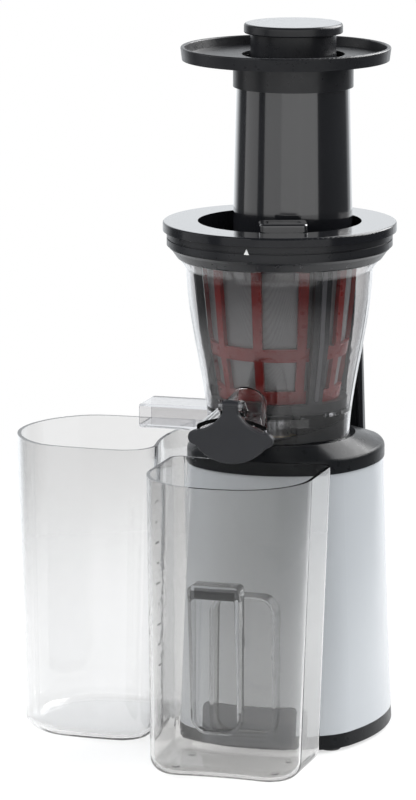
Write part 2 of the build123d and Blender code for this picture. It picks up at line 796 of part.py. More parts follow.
def bowl_form(inset, low, high):
    """Solid of revolution inside the bowl's outline, moved inward by an inset."""
    curve = [(bowl_outer(low) - inset, low)]
    curve += [(radius - inset, level) for radius, level in zip(bowl_radii, bowl_levels) if level > low + 2]
    with BuildPart() as form:
        with BuildSketch(Plane.XZ):
            with BuildLine():
                Spline(*curve[:-1])
                Polyline(curve[-2], curve[-1], (bowl_neck_radius - inset, high), (0, high), (0, low), curve[0])
            make_face()
        revolve(axis=Axis.Z)
    return form.part


pulp_hole_x0 = -(bowl_gear_module * auger_teeth / 2 + 5.5)
pulp_hole_x1 = -(bowl_gear_module * ring_teeth / 2 - 4.7)
pulp_hole_half = 7.5
port_wall = 1.5
seal_radius = shaft_radius + 1.6
outlet_half_width = 8.0
outlet_top_z = chamber_z + 19.0
idler_pin_radius = 2.0
chute_z0 = deck_z + 0.7

with BuildPart() as bowl:
    add(bowl_form(0, deck_z, rim_z))
    add(bowl_form(bowl_wall, chamber_z, rim_z + 1), mode=Mode.SUBTRACT)
    with BuildSketch(Plane.XY.offset(deck_z)):
        Circle(bowl_foot_radius - bowl_wall)
    extrude(amount=floor_z - deck_z, mode=Mode.SUBTRACT)
    # hub round the drive shaft and port through which the pulp drops
    with BuildSketch(Plane.XY.offset(floor_z - 5)):
        Circle(seal_radius + 2.2)
    extrude(amount=chamber_z + 0.5 - floor_z + 5)
    with BuildSketch(Plane.XY.offset(floor_z)):
        with Locations(((pulp_hole_x0 + pulp_hole_x1) / 2, 0)):
            RectangleRounded(pulp_hole_x0 - pulp_hole_x1 + 2 * port_wall, 2 * (pulp_hole_half + port_wall), 3)
    extrude(amount=plate_z - seat - floor_z)
    with BuildSketch(Plane.XY.offset(floor_z - 1)):
        with Locations(((pulp_hole_x0 + pulp_hole_x1) / 2, 0)):
            RectangleRounded(pulp_hole_x0 - pulp_hole_x1, 2 * pulp_hole_half, 1.6)
    extrude(amount=plate_z - floor_z + 1, mode=Mode.SUBTRACT)
    with Locations((0, 0, floor_z)):
        Cylinder(seal_radius, 40, mode=Mode.SUBTRACT)
    with Locations((*idler_place, chamber_z)):
        Cylinder(4, 0.7, align=(Align.CENTER, Align.CENTER, Align.MIN))
        Cylinder(idler_pin_radius, 4, mode=Mode.SUBTRACT)
    # juice outlet with a round top, and the opening of the pulp chute in the foot
    with BuildSketch(Plane.XZ.offset(bowl_foot_radius - 10)):
        with Locations((spout_x, outlet_top_z - outlet_half_width)):
            Circle(outlet_half_width)
        with Locations((spout_x, (chamber_z + outlet_top_z - outlet_half_width) / 2)):
            Rectangle(2 * outlet_half_width, outlet_top_z - outlet_half_width - chamber_z)
    extrude(amount=20, mode=Mode.SUBTRACT)
    with BuildSketch(Plane.YZ.offset(-bowl_foot_radius + 8)):
        with Locations((0, (chute_z0 - seat + floor_z) / 2)):
            Rectangle(chute_width + 2 * seat, floor_z - chute_z0 + seat)
    extrude(amount=-20, mode=Mode.SUBTRACT)
bowl.part.label = "bowl"
export_step(bowl.part, "parts/bowl.step")

with BuildPart() as bowl_seal:
    with BuildSketch(Plane.XY.offset(floor_z - 4)):
        Circle(seal_radius)
        Circle(shaft_radius + running, mode=Mode.SUBTRACT)
    extrude(amount=chamber_z - floor_z + 4)
bowl_seal.part.label = "bowl_seal"
export_step(bowl_seal.part, "parts/bowl_seal.step")

with BuildPart() as bowl_band:
    with BuildSketch(Plane.XZ):
        with BuildLine():
            Polyline((bowl_neck_radius, band_z0), (bowl_neck_radius + 1.2, band_z0),
                     (bowl_neck_radius + 4.4, band_z0 + 4.5), (band_radius - 1.4, band_z0 + 6.2),
                     (band_radius - 1.4, band_z0 + 7.6), (band_radius, band_z0 + 7.6),
                     (band_radius, band_z0 + 11.5), (band_radius - 0.7, band_z0 + 11.7),
                     (band_radius - 0.7, band_z0 + 12.5), (band_radius, band_z0 + 12.7),
                     (band_radius, rim_z + 0.5), (bowl_neck_radius, rim_z + 0.5), close=True)
        make_face()
    revolve(axis=Axis.Z)
bowl_band.part.label = "bowl_band"
export_step(bowl_band.part, "parts/bowl_band.step")

with BuildPart() as idler_pin:
    with BuildSketch(Plane.XY.offset(chamber_z - 2)):
        with Locations(idler_place):
            Circle(idler_pin_radius)
    extrude(amount=bowl_gear_z + bowl_gear_width - chamber_z + 2)
idler_pin.part.label = "idler_pin"
export_step(idler_pin.part, "parts/idler_pin.step")

# ---------------------------------------------------------------- juice spout and drip flap
flap_low_z = deck_z - flap_drop
mouth_half_width = flap_half_width - 4.5
mouth_low_z = flap_low_z + 3.5
mouth_high_z = chamber_z + 5.5
hinge_y = -spout_reach - 1.0
hinge_z = chamber_z + 13.0
barrel_radius = 3.1
stem_half_width = 4.8
ear_wall = 2.3
spout_wall = 2.0
spout_root = bowl_waist_radius - 5.0


def spout_form(inset, start, stop):
    """Solid of the spout between two distances in front of the drive axis."""

    def blend(root, mouth, distance):
        return root + (mouth - root) * (distance - spout_root) / (spout_reach - spout_root)
    with BuildPart() as form:
        for distance in (start, stop):
            half = blend(outlet_half_width + spout_wall, mouth_half_width, distance) - inset
            low = blend(chamber_z - spout_wall, mouth_low_z, distance) + inset
            high = blend(outlet_top_z + spout_wall, mouth_high_z, distance) - inset
            rise_low = blend(0.6, 9.0, distance)
            rise_high = blend(outlet_half_width + 1.5, 5.0, distance)
            with BuildSketch(Plane.XZ.offset(distance)):
                add(plan(spout_x - half, spout_x + half, low, high, (0, 0, rise_low, rise_high), [2.0] * 4))
        loft()
    return form.part


def ear_outline():
    """Side view of one ear that carries the flap's pin, in Y and Z."""
    with BuildSketch() as outline:
        with BuildLine():
            Polyline((-spout_reach, hinge_z), (-spout_reach, mouth_high_z - 4),
                     (-spout_reach + 14, mouth_high_z - 2), (-spout_reach + 3, hinge_z + 2), close=True)
        make_face()
        with Locations((hinge_y, hinge_z)):
            Circle(barrel_radius + 0.4)
    return outline.sketch


with BuildPart() as juice_spout:
    add(spout_form(0, spout_root, spout_reach))
    for face_x in (spout_x - stem_half_width - 0.3 - ear_wall, spout_x + stem_half_width + 0.3):
        with BuildSketch(Plane.YZ.offset(face_x)):
            add(ear_outline())
        extrude(amount=ear_wall)
    add(spout_form(spout_wall, spout_root - 4, spout_reach + 4), mode=Mode.SUBTRACT)
    add(bowl_form(0, deck_z, rim_z), mode=Mode.SUBTRACT)
    with BuildSketch(Plane.YZ.offset(spout_x - 15)):
        with Locations((hinge_y, hinge_z)):
            Circle(pin_radius)
    extrude(amount=30, mode=Mode.SUBTRACT)
juice_spout.part.label = "juice_spout"
export_step(juice_spout.part, "parts/juice_spout.step")

with BuildPart() as flap_pin:
    with BuildSketch(Plane.YZ.offset(spout_x - stem_half_width - 0.3 - ear_wall)):
        with Locations((hinge_y, hinge_z)):
            Circle(pin_radius)
    extrude(amount=2 * (stem_half_width + 0.3 + ear_wall))
flap_pin.part.label = "flap_pin"
export_step(flap_pin.part, "parts/flap_pin.step")

flap_face_y = -spout_reach - seat
with BuildPart() as spout_flap:
    with BuildSketch(Plane.XZ.offset(-flap_face_y)) as fan:
        with BuildLine():
            wide_z = mouth_low_z + 12.0
            neck_z1 = mouth_high_z + 3.5
            for sign in (-1, 1):
                stem_x = spout_x + sign * stem_half_width
                wing_x = spout_x + sign * flap_half_width
                Line((stem_x, hinge_z), (stem_x, neck_z1))
                ThreePointArc((stem_x, neck_z1), (spout_x + sign * (stem_half_width + 4.2), neck_z1 - 5.4),
                              (wing_x - sign * 5, wide_z + 4.0))
                ThreePointArc((wing_x - sign * 5, wide_z + 4.0), (wing_x, wide_z - 0.6),
                              (wing_x - sign * 4.5, wide_z - 5.0))
            ThreePointArc((spout_x - flap_half_width + 4.5, wide_z - 5.0), (spout_x, flap_low_z),
                          (spout_x + flap_half_width - 4.5, wide_z - 5.0))
            Line((spout_x - stem_half_width, hinge_z), (spout_x + stem_half_width, hinge_z))
        make_face()
        fillet(fan.vertices().filter_by(lambda v: v.Y < neck_z1 + 1), 1.8)
    extrude(amount=flap_thickness)
    fillet(spout_flap.faces().sort_by(Axis.Y)[0].edges().filter_by(lambda e: e.center().Z < hinge_z - 1), 1.2)
    with BuildSketch(Plane.YZ.offset(spout_x - stem_half_width)):
        with Locations((hinge_y, hinge_z)):
            Circle(barrel_radius)
    extrude(amount=2 * stem_half_width)
    with BuildSketch(Plane.YZ.offset(spout_x - stem_half_width)):
        with Locations((hinge_y, hinge_z)):
            Circle(pin_radius + running)
    extrude(amount=2 * stem_half_width, mode=Mode.SUBTRACT)
spout_flap.part.label = "spout_flap"
export_step(spout_flap.part, "parts/spout_flap.step")

chute_root = -pulp_hole_x0 - chute_wall
with BuildPart() as pulp_chute:
    with BuildSketch(Plane.YZ.offset(-chute_root)):
        with Locations((0, (chute_z0 + floor_z) / 2)):
            Rectangle(chute_width, floor_z - chute_z0)
    extrude(amount=chute_root - chute_reach)
    fillet(pulp_chute.edges().filter_by(Axis.Y).group_by(Axis.X)[0], chute_corner)
    with BuildSketch(Plane.YZ.offset(-chute_root - chute_wall)):
        with Locations((0, (chute_z0 + floor_z) / 2)):
            Rectangle(chute_width - 2 * chute_wall, floor_z - chute_z0 - 2 * chute_wall)
    extrude(amount=chute_root - chute_reach - 10, mode=Mode.SUBTRACT)
    with BuildSketch(Plane.XY.offset(floor_z - chute_wall - 1)):
        with Locations(((pulp_hole_x0 + pulp_hole_x1) / 2, 0)):
            RectangleRounded(pulp_hole_x0 - pulp_hole_x1, 2 * pulp_hole_half, 1.6)
    extrude(amount=chute_wall + 2, mode=Mode.SUBTRACT)
pulp_chute.part.label = "pulp_chute"
export_step(pulp_chute.part, "parts/pulp_chute.step")

# ---------------------------------------------------------------- strainer
strainer_levels = (plate_z, bowl_levels[2], strainer_top_z)
strainer_radii = [bowl_outer(level) - bowl_wall - strainer_gap for level in strainer_levels[:2]]
strainer_radii.append(bowl_shoulder_radius - bowl_wall - strainer_gap)


def strainer_outer(level):
    """Outer radius of the strainer's frame at a level."""
    if level <= strainer_levels[1]:
        return cone_radius(level, strainer_levels[0], strainer_radii[0], strainer_levels[1], strainer_radii[1])
    return cone_radius(level, strainer_levels[1], strainer_radii[1], strainer_levels[2], strainer_radii[2])


def cone_points(inset, low, high):
    """Points up a wall parallel to the strainer's outside, from a low level to a high one."""
    levels = [low] + [level for level in strainer_levels[1:2] if low < level < high] + [high]
    return [(strainer_outer(level) - inset, level) for level in levels]


def cone_wall(outer_inset, inner_inset, low, high, start=0.0, arc=360.0):
    """Part of a conical wall that follows the strainer, swept through an arc from a start direction."""
    outline = cone_points(outer_inset, low, high) + cone_points(inner_inset, low, high)[::-1]
    with BuildPart() as wall:
        with BuildSketch(Plane.XZ.rotated((0, 0, start))):
            with BuildLine():
                Polyline(*outline, close=True)
            make_face()
        revolve(axis=Axis.Z, revolution_arc=arc)
    return wall.part


frame_inner = strainer_frame_wall
mesh_inner = strainer_frame_wall + mesh_wall
neck_radius_auger = bowl_gear_module * auger_teeth / 2 + 3.0
plate_wall = 3.0
window_rows = ((plate_z + 8.0, bowl_levels[2] - 12.5), (bowl_levels[2] - 4.5, strainer_top_z - 4.5))
rib_step = 360 / rib_count
with BuildPart() as strainer_frame:
    add(cone_wall(0, frame_inner, plate_z, strainer_top_z))
    for low, high in window_rows:
        for rib in range(rib_count):
            add(cone_wall(-2, frame_inner + 2, low, high,
                          rib_start - 90 + rib_arc / 2 + rib * rib_step, rib_step - rib_arc), mode=Mode.SUBTRACT)
    with BuildSketch(Plane.XY.offset(plate_z)):
        Circle(strainer_outer(plate_z) - 0.5)
        Circle(neck_radius_auger + slide_fit, mode=Mode.SUBTRACT)
        with Locations(((pulp_hole_x0 + pulp_hole_x1) / 2, 0)):
            RectangleRounded(pulp_hole_x0 - pulp_hole_x1, 2 * pulp_hole_half, 1.6, mode=Mode.SUBTRACT)
    extrude(amount=plate_wall)
strainer_frame.part.label = "strainer_frame"
export_step(strainer_frame.part, "parts/strainer_frame.step")

with BuildPart() as strainer_mesh:
    add(cone_wall(frame_inner, mesh_inner, plate_z + plate_wall, strainer_top_z))
strainer_mesh.part.label = "strainer_mesh"
export_step(strainer_mesh.part, "parts/strainer_mesh.step")

# ---------------------------------------------------------------- auger and bowl gears
auger_z = plate_z + plate_wall + 0.8
auger_top_z = neck_z - 6.0
flight_z1 = auger_top_z - 6.0
pivot_radius = 4.0
pivot_z = lid_floor_z - lid_floor - 1.0
flight_arc = 30.0
flight_steps = 24


def sector(inner, outer, arc, turn):
    """Sector of a ring, centred on a direction."""
    first, last, middle = (math.radians(turn + share * arc) for share in (-0.5, 0.5, 0))

    def place(radius, angle):
        return (radius * math.cos(angle), radius * math.sin(angle))
    with BuildSketch() as outline:
        with BuildLine():
            Line(place(inner, first), place(outer, first))
            ThreePointArc(place(outer, first), place(outer, middle), place(outer, last))
            Line(place(outer, last), place(inner, last))
            ThreePointArc(place(inner, last), place(inner, middle), place(inner, first))
        make_face()
    return outline.sketch


def flight(start):
    """One helical flight of the auger, lofted through turned sectors up the cone."""
    with BuildPart() as helix:
        for step in range(flight_steps + 1):
            level = auger_z + (flight_z1 - auger_z) * step / flight_steps
            turn = start + 360 * (level - auger_z) / auger_pitch
            with BuildSketch(Plane.XY.offset(level)):
                add(sector(auger_top_radius - 4, strainer_outer(level) - mesh_inner - auger_gap,
                           flight_arc, turn))
        loft()
    return helix.part


gear_core = bowl_gear_module * (auger_teeth / 2 - 1.5)
with BuildPart() as auger:
    with BuildSketch(Plane.XZ):
        with BuildLine():
            Polyline((0, bowl_gear_z), (gear_core, bowl_gear_z), (gear_core, bowl_gear_z + bowl_gear_width + 0.4),
                     (neck_radius_auger, bowl_gear_z + bowl_gear_width + 0.4),
                     (neck_radius_auger, auger_z), (auger_core_radius, auger_z),
                     (auger_top_radius, auger_top_z), (pivot_radius + 3, auger_top_z + 3),
                     (pivot_radius, auger_top_z + 3), (pivot_radius, pivot_z), (0, pivot_z), close=True)
        make_face()
    revolve(axis=Axis.Z)
    add(flight(0))
    with BuildSketch(Plane.XY.offset(bowl_gear_z)):
        add(gear_outline(auger_teeth, bowl_gear_module, 0.9, 1.1, backlash, 0))
    extrude(amount=bowl_gear_width)
    # hexagonal socket for the drive shaft
    with BuildSketch(Plane.XY.offset(bowl_gear_z - 1)):
        Circle(shaft_radius + 0.4)
    extrude(amount=1.6 + hex_z - bowl_gear_z, mode=Mode.SUBTRACT)
    with BuildSketch(Plane.XY.offset(bowl_gear_z)):
        RegularPolygon(hex_across / 2 + running, 6, major_radius=False)
    extrude(amount=hex_top_z + 0.5 - bowl_gear_z, mode=Mode.SUBTRACT)
auger.part.label = "auger"
export_step(auger.part, "parts/auger.step")

idler_turn = idler_angle + 180 + 180 / idler_teeth
with BuildPart() as idler_gear:
    with BuildSketch(Plane.XY.offset(bowl_gear_z)):
        with Locations(idler_place):
            add(gear_outline(idler_teeth, bowl_gear_module, 0.9, 1.1, backlash, idler_turn))
            Circle(idler_pin_radius + running, mode=Mode.SUBTRACT)
    extrude(amount=bowl_gear_width)
idler_gear.part.label = "idler_gear"
export_step(idler_gear.part, "parts/idler_gear.step")

# ---------------------------------------------------------------- wiper cage
bar_gap = 0.7
bar_depth = 4.0
bar_arc = 13.0
blade_arc = 3.4
cage_ring_z = strainer_top_z - 3.0
cage_top_z = strainer_top_z + 0.5
ring_outer = strainer_outer(plate_z) + bar_gap + bar_depth
ring_turn = idler_angle + 180 / ring_teeth
blade_reach = strainer_gap - 1.0
with BuildPart() as wiper_cage:
    with BuildSketch(Plane.XY.offset(bowl_gear_z)):
        Circle(ring_outer)
        add(gear_outline(ring_teeth, bowl_gear_module, 1.0, 0.8, -backlash, ring_turn), mode=Mode.SUBTRACT)
    extrude(amount=bowl_gear_width)
    with BuildSketch(Plane.XY.offset(bowl_gear_z + bowl_gear_width)):
        Circle(ring_outer)
        Circle(strainer_outer(plate_z) + bar_gap, mode=Mode.SUBTRACT)
    extrude(amount=plate_z - bowl_gear_z - bowl_gear_width)
    add(cone_wall(-bar_gap - bar_depth, -bar_gap, cage_ring_z, cage_top_z))
    for bar in range(wiper_count):
        bar_start = wiper_start - 90 + bar * 360 / wiper_count
        add(cone_wall(-bar_gap - bar_depth, -bar_gap, plate_z, cage_top_z, bar_start - bar_arc / 2, bar_arc))
    for bar in range(wiper_count):
        bar_start = wiper_start - 90 + bar * 360 / wiper_count
        add(cone_wall(-bar_gap - bar_depth - 1, 1 - bar_gap, plate_z + 2, cage_ring_z - 1,
                      bar_start - blade_arc / 2, blade_arc), mode=Mode.SUBTRACT)
wiper_cage.part.label = "wiper_cage"
export_step(wiper_cage.part, "parts/wiper_cage.step")

with BuildPart() as wiper_blades:
    for bar in range(wiper_count):
        bar_start = wiper_start - 90 + bar * 360 / wiper_count
        add(cone_wall(-blade_reach, -0.3, plate_z + 2, cage_ring_z - 1, bar_start - blade_arc / 2, blade_arc))
wiper_blades.part.label = "wiper_blades"
export_step(wiper_blades.part, "parts/wiper_blades.step")

# ---------------------------------------------------------------- lid, feed tube, tray and pusher
skirt_depth = 13.0
seal_z = lid_z0 - 9.0
throat_radius = 17.5
throat_y = tube_y + tube_bore - throat_radius - 1.2
with BuildPart() as lid:
    with BuildSketch(Plane.XY.offset(lid_z0)):
        Circle(lid_radius)
    extrude(amount=lid_edge)
    fillet(lid.edges().group_by(Axis.Z)[-1], 1.2)
    with BuildSketch(Plane.XY.offset(lid_z0 - skirt_depth)):
        Circle(skirt_radius)
    extrude(amount=skirt_depth)
    with BuildSketch(Plane.XY.offset(lid_z0 - skirt_depth)):
        Circle(skirt_radius - skirt_wall)
    extrude(amount=lid_floor_z - lid_floor - lid_z0 + skirt_depth, mode=Mode.SUBTRACT)
    # recess with the seat of the feed tube
    with BuildSketch(Plane.XY.offset(lid_floor_z)):
        Circle(recess_radius)
        with Locations(tube_centre):
            Circle(tube_base_radius + seat)
    extrude(amount=recess_depth + 1, mode=Mode.SUBTRACT)
    with BuildSketch(Plane.XY.offset(lid_floor_z - lid_floor)):
        with Locations((tube_x, throat_y)):
            Circle(throat_radius)
    extrude(amount=lid_floor, mode=Mode.SUBTRACT)
    # blind bush that holds the top of the auger
    with BuildSketch(Plane.XY.offset(lid_floor_z - lid_floor - 5)):
        Circle(pivot_radius + 3)
    extrude(amount=5)
    with Locations((0, 0, lid_floor_z - lid_floor - 5)):
        Cylinder(pivot_radius + running, 5, align=(Align.CENTER, Align.CENTER, Align.MIN), mode=Mode.SUBTRACT)
    # groove of the seal
    with BuildSketch(Plane.XY.offset(seal_z)):
        Circle(skirt_radius + 1)
        Circle(skirt_radius - 1.4, mode=Mode.SUBTRACT)
    extrude(amount=3, mode=Mode.SUBTRACT)
lid.part.label = "lid"
export_step(lid.part, "parts/lid.step")

with BuildPart() as lid_seal:
    with BuildSketch(Plane.XZ):
        with BuildLine():
            Polyline((skirt_radius - 1.4, seal_z), (skirt_radius, seal_z),
                     (skirt_radius + slide_fit - 0.1, seal_z + 1.5), (skirt_radius, seal_z + 3),
                     (skirt_radius - 1.4, seal_z + 3), close=True)
        make_face()
    revolve(axis=Axis.Z)
lid_seal.part.label = "lid_seal"
export_step(lid_seal.part, "parts/lid_seal.step")

tube_knee_z = lid_z + 6.0
tab_z = lid_z + 0.3
tab_top_z = tab_z + tab_height
tab_y = 1.0 + tab_depth / 2 - recess_radius
with BuildPart() as feed_tube:
    with BuildSketch(Plane.XZ.offset(-tube_y)):
        with BuildLine():
            Polyline((tube_x, lid_floor_z), (tube_x + tube_base_radius, lid_floor_z),
                     (tube_x + tube_base_radius, tube_knee_z), (tube_x + tube_top_radius, tube_top_z),
                     (tube_x, tube_top_z), close=True)
        make_face()
    revolve(axis=Axis((tube_x, tube_y, 0), (0, 0, 1)))
    # thumb tab that turns the tube in its recess, with a shallow dimple, on a stem from the tube's foot
    with BuildSketch(Plane.XY.offset(tab_z).rotated((0, 0, tab_turn))):
        with Locations((0, tab_y)):
            RectangleRounded(tab_width, tab_depth, 3.5)
    extrude(amount=tab_height)
    fillet(feed_tube.edges().filter_by_position(Axis.Z, tab_top_z - 0.1, tab_top_z + 0.1), 1.4)
    with BuildSketch(Plane.XY.offset(tab_top_z).rotated((0, 0, tab_turn))):
        with Locations((0, tab_y)):
            RectangleRounded(tab_width - 8, tab_depth - 10, 3.0)
    extrude(amount=-0.8, mode=Mode.SUBTRACT)
    with BuildSketch(Plane.XY.offset(lid_floor_z).rotated((0, 0, tab_turn))):
        with Locations((0, (tube_y - recess_radius) / 2)):
            Rectangle(tab_width - 6, tube_y + recess_radius)
        Circle(recess_radius - seat, mode=Mode.INTERSECT)
    extrude(amount=tab_z - lid_floor_z + 1)
    with BuildSketch(Plane.XY.offset(lid_floor_z + 3)):
        with Locations(tube_centre):
            Circle(tube_bore)
    extrude(amount=tube_height, mode=Mode.SUBTRACT)
    with BuildSketch(Plane.XY.offset(lid_floor_z)):
        with Locations((tube_x, throat_y)):
            Circle(throat_radius)
    extrude(amount=3, mode=Mode.SUBTRACT)
feed_tube.part.label = "feed_tube"
export_step(feed_tube.part, "parts/feed_tube.step")

pusher_radius = tube_bore - slide_fit
neck_radius = pusher_radius - neck_step
cap_radius = neck_radius + cap_lip
tray_hole = cap_radius + 1.2
collar_radius = tube_top_radius + 2.6
collar_share = collar_length / (tube_top_z - tube_knee_z)
with BuildPart() as feed_tray:
    with BuildSketch(Plane.XY.offset(tray_z0)):
        with Locations(tray_centre):
            Circle(tray_radius - tray_taper)
    with BuildSketch(Plane.XY.offset(tray_z)):
        with Locations(tray_centre):
            Circle(tray_radius)
    loft()
    with BuildSketch(Plane.XY.offset(tray_z0 + tray_wall)):
        with Locations(tray_centre):
            Circle(tray_radius - tray_taper - tray_wall)
    with BuildSketch(Plane.XY.offset(tray_z + 0.1)):
        with Locations(tray_centre):
            Circle(tray_radius - tray_wall)
    loft(mode=Mode.SUBTRACT)
    fillet(feed_tray.edges().group_by(Axis.Z)[-1], 0.9)
    with BuildSketch(Plane.XY.offset(tray_z0 - collar_length)):
        with Locations(tube_centre):
            Circle(collar_radius)
    extrude(amount=collar_length)
    with BuildSketch(Plane.XY.offset(tray_z0 - collar_length)):
        with Locations(tube_centre):
            Circle(tube_top_radius + tube_flare * collar_share + slide_fit)
    extrude(amount=collar_length, mode=Mode.SUBTRACT)
    with BuildSketch(Plane.XY.offset(tray_z0)):
        with Locations(tube_centre):
            Circle(tray_hole)
    extrude(amount=tray_depth, mode=Mode.SUBTRACT)
feed_tray.part.label = "feed_tray"
export_step(feed_tray.part, "parts/feed_tray.step")

pusher_z0 = lid_floor_z + 3.0
pusher_shoulder_z = tube_top_z - 6.0
pusher_axis = Axis((tube_x, tube_y, 0), (0, 0, 1))
with BuildPart() as pusher_body:
    with BuildSketch(Plane.XZ.offset(-tube_y)):
        with BuildLine():
            Polyline((tube_x, pusher_z0), (tube_x + pusher_radius - 2, pusher_z0),
                     (tube_x + pusher_radius, pusher_z0 + 2), (tube_x + pusher_radius, pusher_shoulder_z),
                     (tube_x + neck_radius, pusher_shoulder_z + 4), (tube_x + neck_radius, cap_z0),
                     (tube_x + neck_radius - pusher_wall, cap_z0),
                     (tube_x + neck_radius - pusher_wall, pusher_shoulder_z + 3),
                     (tube_x + pusher_radius - pusher_wall, pusher_shoulder_z - 1),
                     (tube_x + pusher_radius - pusher_wall, pusher_z0 + pusher_wall),
                     (tube_x, pusher_z0 + pusher_wall), close=True)
        make_face()
    revolve(axis=pusher_axis)
pusher_body.part.label = "pusher_body"
export_step(pusher_body.part, "parts/pusher_body.step")

with BuildPart() as pusher_cap:
    with BuildSketch(Plane.XY.offset(cap_z0)):
        with Locations(tube_centre):
            Circle(cap_radius)
    extrude(amount=cap_height)
    fillet(pusher_cap.edges().group_by(Axis.Z)[-1], 1.8)
    fillet(pusher_cap.edges().group_by(Axis.Z)[0], 0.8)
    with BuildSketch(Plane.XY.offset(cap_z0 - 5)):
        with Locations(tube_centre):
            Circle(neck_radius - pusher_wall - 0.1)
            Circle(neck_radius - pusher_wall - 2.1, mode=Mode.SUBTRACT)
    extrude(amount=5)
pusher_cap.part.label = "pusher_cap"
export_step(pusher_cap.part, "parts/pusher_cap.step")

# ---------------------------------------------------------------- juice jug and pulp container
rim_level = flap_low_z - flap_rim_gap
jug_back = -(housing_top_front + jug_gap)
jug_foot_back = -(housing_front + jug_foot_gap)
jug_centre_x = 1.0
jug_front = jug_back - jug_depth
jug_foot_z = 1.0
jug_edge = 9.0
floor_thickness = 2.6


def rounded_form(outline, low, high, edge):
    """Solid between two levels through plans outline(level, inset), its lower edge rounded."""
    with BuildPart() as form:
        for angle in (0, math.pi / 6, math.pi / 3, math.pi / 2):
            level = low + edge * (1 - math.cos(angle))
            with BuildSketch(Plane.XY.offset(level)):
                add(outline(level, edge * (1 - math.sin(angle))))
        loft()
        for level in (low + edge, high):
            with BuildSketch(Plane.XY.offset(level)):
                add(outline(level, 0))
        loft()
    return form.part


def jug_plan(level, inset):
    """Plan of the jug at a level, moved inward by an inset."""
    def blend(foot, rim):
        return foot + (rim - foot) * level / rim_level
    half = blend(jug_half_width - 4.0, jug_half_width) - inset
    back = blend(jug_foot_back, jug_back) - inset
    front = blend(jug_front + 17.0, jug_front) + inset
    rises = (0, 0, blend(-4.0, 14.0), blend(-6.0, -5.0))
    front_corner = blend(19.0, 44.0) - inset
    back_corner = blend(11.0, 7.0) - inset
    radii = (front_corner, front_corner, back_corner, back_corner)
    return plan(jug_centre_x - half, jug_centre_x + half, front, back, rises, radii)


def grip_outline(width, low, high, corner, wall, lip):
    """Outline of a hand grip on the XZ plane, grown by a wall at its sides and foot and a lip at its top."""
    half = width / 2 + wall
    with BuildSketch() as outline:
        with BuildLine():
            Polyline((jug_centre_x - half, low - wall), (jug_centre_x + half, low - wall),
                     (jug_centre_x + half, high + lip), (jug_centre_x - half, high + lip), close=True)
        make_face()
        fillet(outline.vertices().group_by(Axis.Y)[0], 8 + wall)
        fillet(outline.vertices().group_by(Axis.Y)[-1], corner + wall)
    return outline.sketch


grip_front_y = jug_front + 6.0 + grip_depth
grip_back_y = jug_back - 3.0 - grip_depth
front_grip = (front_grip_width, front_grip_low, front_grip_high, 1.0)
back_grip = (back_grip_width, back_grip_low, back_grip_high, 9.0)
with BuildPart() as jug_outside:
    add(rounded_form(jug_plan, jug_foot_z, rim_level, jug_edge))
    with BuildSketch(Plane.XZ.offset(-grip_front_y)):
        add(grip_outline(*front_grip, 0, 0))
    extrude(amount=60, mode=Mode.SUBTRACT)
    with BuildSketch(Plane.XZ.offset(-grip_back_y)):
        add(grip_outline(*back_grip, 0, 0))
    extrude(amount=-60, mode=Mode.SUBTRACT)

with BuildPart() as jug_inside:
    add(rounded_form(lambda level, inset: jug_plan(level, inset + jug_wall), jug_foot_z + floor_thickness,
                     rim_level + 1, jug_edge - jug_wall))
    with BuildSketch(Plane.XZ.offset(-grip_front_y - jug_wall)):
        add(grip_outline(*front_grip, jug_wall, grip_lip))
    extrude(amount=60, mode=Mode.SUBTRACT)
    with BuildSketch(Plane.XZ.offset(-grip_back_y + jug_wall)):
        add(grip_outline(*back_grip, jug_wall, jug_wall))
    extrude(amount=-60, mode=Mode.SUBTRACT)

jug_feet = [(jug_centre_x + x, y) for x in (-31, 31) for y in (jug_foot_back - 13, jug_front + 34)]
with BuildPart() as juice_jug:
    add(jug_outside.part)
    add(jug_inside.part, mode=Mode.SUBTRACT)
    with BuildSketch(Plane.XY):
        with Locations(*jug_feet):
            Circle(2.4)
    extrude(amount=jug_foot_z + 1)
juice_jug.part.label = "juice_jug"
export_step(juice_jug.part, "parts/juice_jug.step")

pulp_side = -(housing_half_width + pulp_gap)
pulp_foot_side = -(housing_half_width + pulp_foot_gap)
pulp_rim_level = deck_z - pulp_rim_gap


def pulp_plan(level, inset):
    """Plan of the pulp container at a level, moved inward by an inset."""
    def blend(foot, rim):
        return foot + (rim - foot) * level / pulp_rim_level
    left = pulp_side - blend(pulp_length - 4.0, pulp_length) + inset
    right = blend(pulp_foot_side, pulp_side) - inset
    half = blend(pulp_half_depth - 2.6, pulp_half_depth) - inset
    rises = (blend(27, 29), blend(-5.5, -9.0), 2.5, 2.5)
    radii = [radius - inset for radius in (30, 20, 12, 30)]
    return plan(left, right, pulp_centre_y - half, pulp_centre_y + half, rises, radii)


with BuildPart() as pulp_container:
    add(rounded_form(pulp_plan, 0, pulp_rim_level, pulp_edge))
    add(rounded_form(lambda level, inset: pulp_plan(level, inset + pulp_wall), pulp_floor, pulp_rim_level + 1,
                     pulp_edge - pulp_wall), mode=Mode.SUBTRACT)
pulp_container.part.label = "pulp_container"
export_step(pulp_container.part, "parts/pulp_container.step")
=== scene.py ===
"""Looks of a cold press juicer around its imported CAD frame: materials, marks, studio, camera."""

import json
import math

